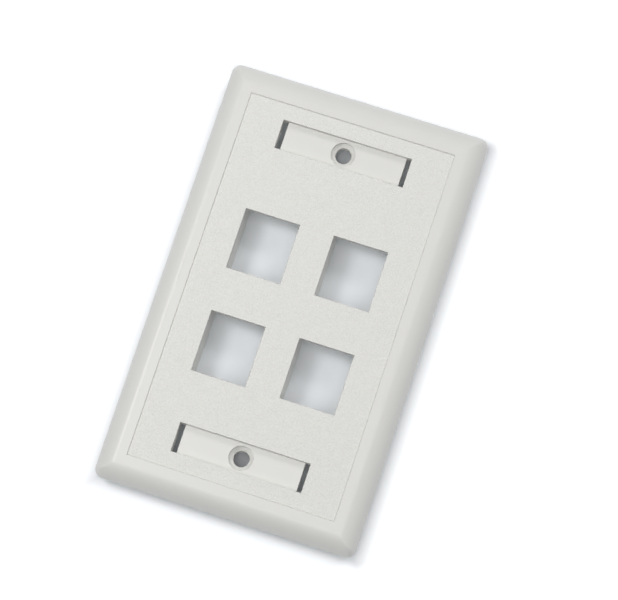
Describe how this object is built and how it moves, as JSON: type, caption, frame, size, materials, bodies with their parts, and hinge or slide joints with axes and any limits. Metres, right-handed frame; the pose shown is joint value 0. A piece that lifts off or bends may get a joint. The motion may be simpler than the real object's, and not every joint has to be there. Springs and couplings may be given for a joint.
{
  "type": "keystone faceplate",
  "caption": "Single-gang wall faceplate with keystone jack ports in a textured panel, recessed label windows and countersunk screw holes.",
  "frame": {"origin": "midway between the two mounting screws, on the wall plane where the rim and the screw bosses bear", "axes": "+Z out of the front of the plate, +Y up the plate, +X to its right seen from the front"},
  "size_m": [0.07, 0.1142, 0.0102],
  "materials": {
    "moulding": "satin white, fine grain on the centre panel"
  },
  "bodies": {
    "root": {"faceplate": "moulding"}
  },
  "joints": []
}
